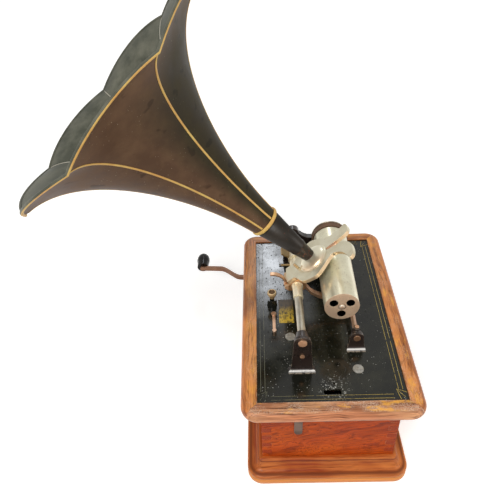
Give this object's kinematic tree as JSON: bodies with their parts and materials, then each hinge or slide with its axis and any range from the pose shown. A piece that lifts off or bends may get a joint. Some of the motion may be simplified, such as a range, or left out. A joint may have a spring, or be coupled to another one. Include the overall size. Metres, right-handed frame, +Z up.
{
  "type": "cylinder phonograph",
  "caption": "Spring-driven cylinder phonograph with a finger-jointed oak case, black bed plate, nickel mandrel, lyre-shaped carriage and a panelled black horn with gilt seams",
  "frame": {"origin": "Centre of the case's underside, on the table.", "axes": "X across the machine with the horn's mouth at minus X, Y along the mandrel from its free end towards the crank, Z up."},
  "size_m": [0.443, 0.4007, 0.5599],
  "materials": {
    "oak": "varnished",
    "black_japan": "worn gloss",
    "knob_black": "polished",
    "nickel": "satin",
    "fork_nickel": "satin",
    "copper": "worn plating",
    "brass": "aged",
    "steel": "bright",
    "belt_leather": "worn",
    "horn_enamel": "gloss enamel",
    "horn_gold": "gilt"
  },
  "bodies": {
    "case": {"base_moulding": "oak", "bottom_board": "oak", "front_panel": "oak", "rear_panel": "oak", "left_panel": "oak", "right_panel": "oak", "crank_bush": "steel", "case_hinge_leaves": "brass"},
    "lid": {"frame_front": "oak", "frame_rear": "oak", "frame_left": "oak", "frame_right": "oak", "bed_plate": "black_japan", "bed_screws": "steel", "lid_hinge_leaves": "brass", "front_pedestal": "black_japan", "guide_pedestal": "black_japan", "rear_bracket": "black_japan", "carriage_tube": "nickel", "guide_rod": "nickel", "pedestal_screws": "copper", "drive_belt": "belt_leather", "speed_collar": "black_japan", "motor_plate_front": "steel", "motor_plate_rear": "steel", "motor_pillars": "steel"},
    "latch": {"latch_slide": "steel"},
    "crank": {"crank_arm": "copper"},
    "crank_handle": {"crank_knob": "knob_black"},
    "winding": {"winding_arbor": "steel"},
    "barrel": {"spring_barrel": "brass", "mainspring": "steel"},
    "second": {"second_arbor": "brass"},
    "drive": {"pulley_arbor": "brass", "drive_pulley": "steel"},
    "governor": {"governor_spindle": "brass", "governor_weights": "brass"},
    "mandrel": {"mandrel_shell": "nickel", "mandrel_spindle": "steel", "mandrel_pulley": "nickel", "pulley_flange": "nickel"},
    "idler_a": {"idler_right": "steel"},
    "idler_b": {"idler_left": "steel"},
    "feed": {"feed_screw": "steel"},
    "carriage": {"carriage_sleeve": "nickel", "feed_nut": "brass"},
    "fork": {"carriage_block": "fork_nickel", "guide_arm": "copper", "lyre_fork": "fork_nickel", "reproducer_dome": "fork_nickel", "diaphragm": "steel", "block_screws": "brass"},
    "lift": {"lift_lever": "copper"},
    "stylus": {"stylus_lever": "steel"},
    "horn": {"horn_neck": "horn_enamel", "horn_bell": "horn_enamel", "horn_ribs": "horn_gold", "horn_rim": "horn_gold"},
    "speed": {"speed_knob": "brass"},
    "stop": {"stop_lever": "nickel"}
  },
  "joints": [
    {"name": "lid_hinge", "type": "hinge", "parent": "case", "child": "lid", "pos_m": [0, 0.1455, 0.1365], "axis": [-1, 0, 0], "range_deg": [0, 60]},
    {"name": "latch_slide", "type": "slide", "parent": "case", "child": "latch", "axis": [-1, 0, 0], "range_m": [0, 0.01]},
    {"name": "crank_turn", "type": "hinge", "parent": "case", "child": "crank", "pos_m": [-0.037, 0.142, 0.052], "axis": [0, 1, 0], "continuous": true},
    {"name": "crank_knob_spin", "type": "hinge", "parent": "crank", "child": "crank_handle", "pos_m": [-0.18261, 0.215, 0.06269], "axis": [0, 1, 0], "continuous": true},
    {"name": "winding_turn", "type": "hinge", "parent": "lid", "child": "winding", "pos_m": [-0.037, 0.06, 0.052], "axis": [0, 1, 0], "continuous": true},
    {"name": "mandrel_spin", "type": "hinge", "parent": "lid", "child": "mandrel", "pos_m": [0.018, 0, 0.212], "axis": [0, 1, 0], "continuous": true},
    {"name": "drive_turn", "type": "hinge", "parent": "lid", "child": "drive", "pos_m": [0.018, 0.06, 0.08181], "axis": [0, 1, 0], "continuous": true},
    {"name": "second_turn", "type": "hinge", "parent": "lid", "child": "second", "pos_m": [-0.0012, 0.06, 0.05831], "axis": [0, 1, 0], "continuous": true},
    {"name": "barrel_turn", "type": "hinge", "parent": "lid", "child": "barrel", "pos_m": [-0.037, 0.06, 0.052], "axis": [0, 1, 0], "continuous": true},
    {"name": "governor_turn", "type": "hinge", "parent": "lid", "child": "governor", "pos_m": [0.0395, 0.02, 0.07038], "axis": [0, 1, 0], "continuous": true},
    {"name": "idler_right_turn", "type": "hinge", "parent": "lid", "child": "idler_a", "pos_m": [0.01539, 0.10825, 0.1893], "axis": [0, 1, 0], "continuous": true},
    {"name": "idler_left_turn", "type": "hinge", "parent": "lid", "child": "idler_b", "pos_m": [-0.02011, 0.10825, 0.18149], "axis": [0, 1, 0], "continuous": true},
    {"name": "feed_turn", "type": "hinge", "parent": "lid", "child": "feed", "pos_m": [-0.032, 0, 0.201], "axis": [0, 1, 0], "continuous": true},
    {"name": "carriage_slide", "type": "slide", "parent": "lid", "child": "carriage", "axis": [0, 1, 0], "range_m": [-0.045, 0.035]},
    {"name": "carriage_lift", "type": "hinge", "parent": "carriage", "child": "fork", "pos_m": [-0.032, 0.01, 0.201], "axis": [0, -1, 0], "range_deg": [0, 6]},
    {"name": "lift_lever", "type": "hinge", "parent": "fork", "child": "lift", "pos_m": [-0.0464, 0.005, 0.197], "axis": [0, -1, 0], "range_deg": [0, 24]},
    {"name": "stylus_rock", "type": "hinge", "parent": "fork", "child": "stylus", "pos_m": [-0.01752, 0.01, 0.21914], "axis": [0, 1, 0], "range_deg": [-2, 2], "stiffness_Nm_per_rad": 0.05},
    {"name": "horn_turn", "type": "hinge", "parent": "fork", "child": "horn", "pos_m": [-0.01399, 0.01, 0.23562], "axis": [-0.7046, 0, 0.7096], "continuous": true},
    {"name": "speed_turn", "type": "hinge", "parent": "lid", "child": "speed", "pos_m": [-0.0645, 0.011, 0.16], "axis": [0, 0, 1], "range_deg": [-180, 180]},
    {"name": "stop_swing", "type": "hinge", "parent": "lid", "child": "stop", "pos_m": [-0.063, -0.009, 0.154], "axis": [0, 0, 1], "range_deg": [0, 25]}
  ],
  "couplings": [
    {"joint": "winding_turn", "follows": "crank_turn", "ratio": 1},
    {"joint": "drive_turn", "follows": "mandrel_spin", "ratio": 1},
    {"joint": "second_turn", "follows": "mandrel_spin", "ratio": -0.25},
    {"joint": "barrel_turn", "follows": "mandrel_spin", "ratio": 0.05},
    {"joint": "governor_turn", "follows": "mandrel_spin", "ratio": -3},
    {"joint": "idler_right_turn", "follows": "mandrel_spin", "ratio": -0.25},
    {"joint": "idler_left_turn", "follows": "mandrel_spin", "ratio": 0.25},
    {"joint": "feed_turn", "follows": "mandrel_spin", "ratio": -1},
    {"joint": "lift_lever", "follows": "carriage_lift", "ratio": 4}
  ]
}
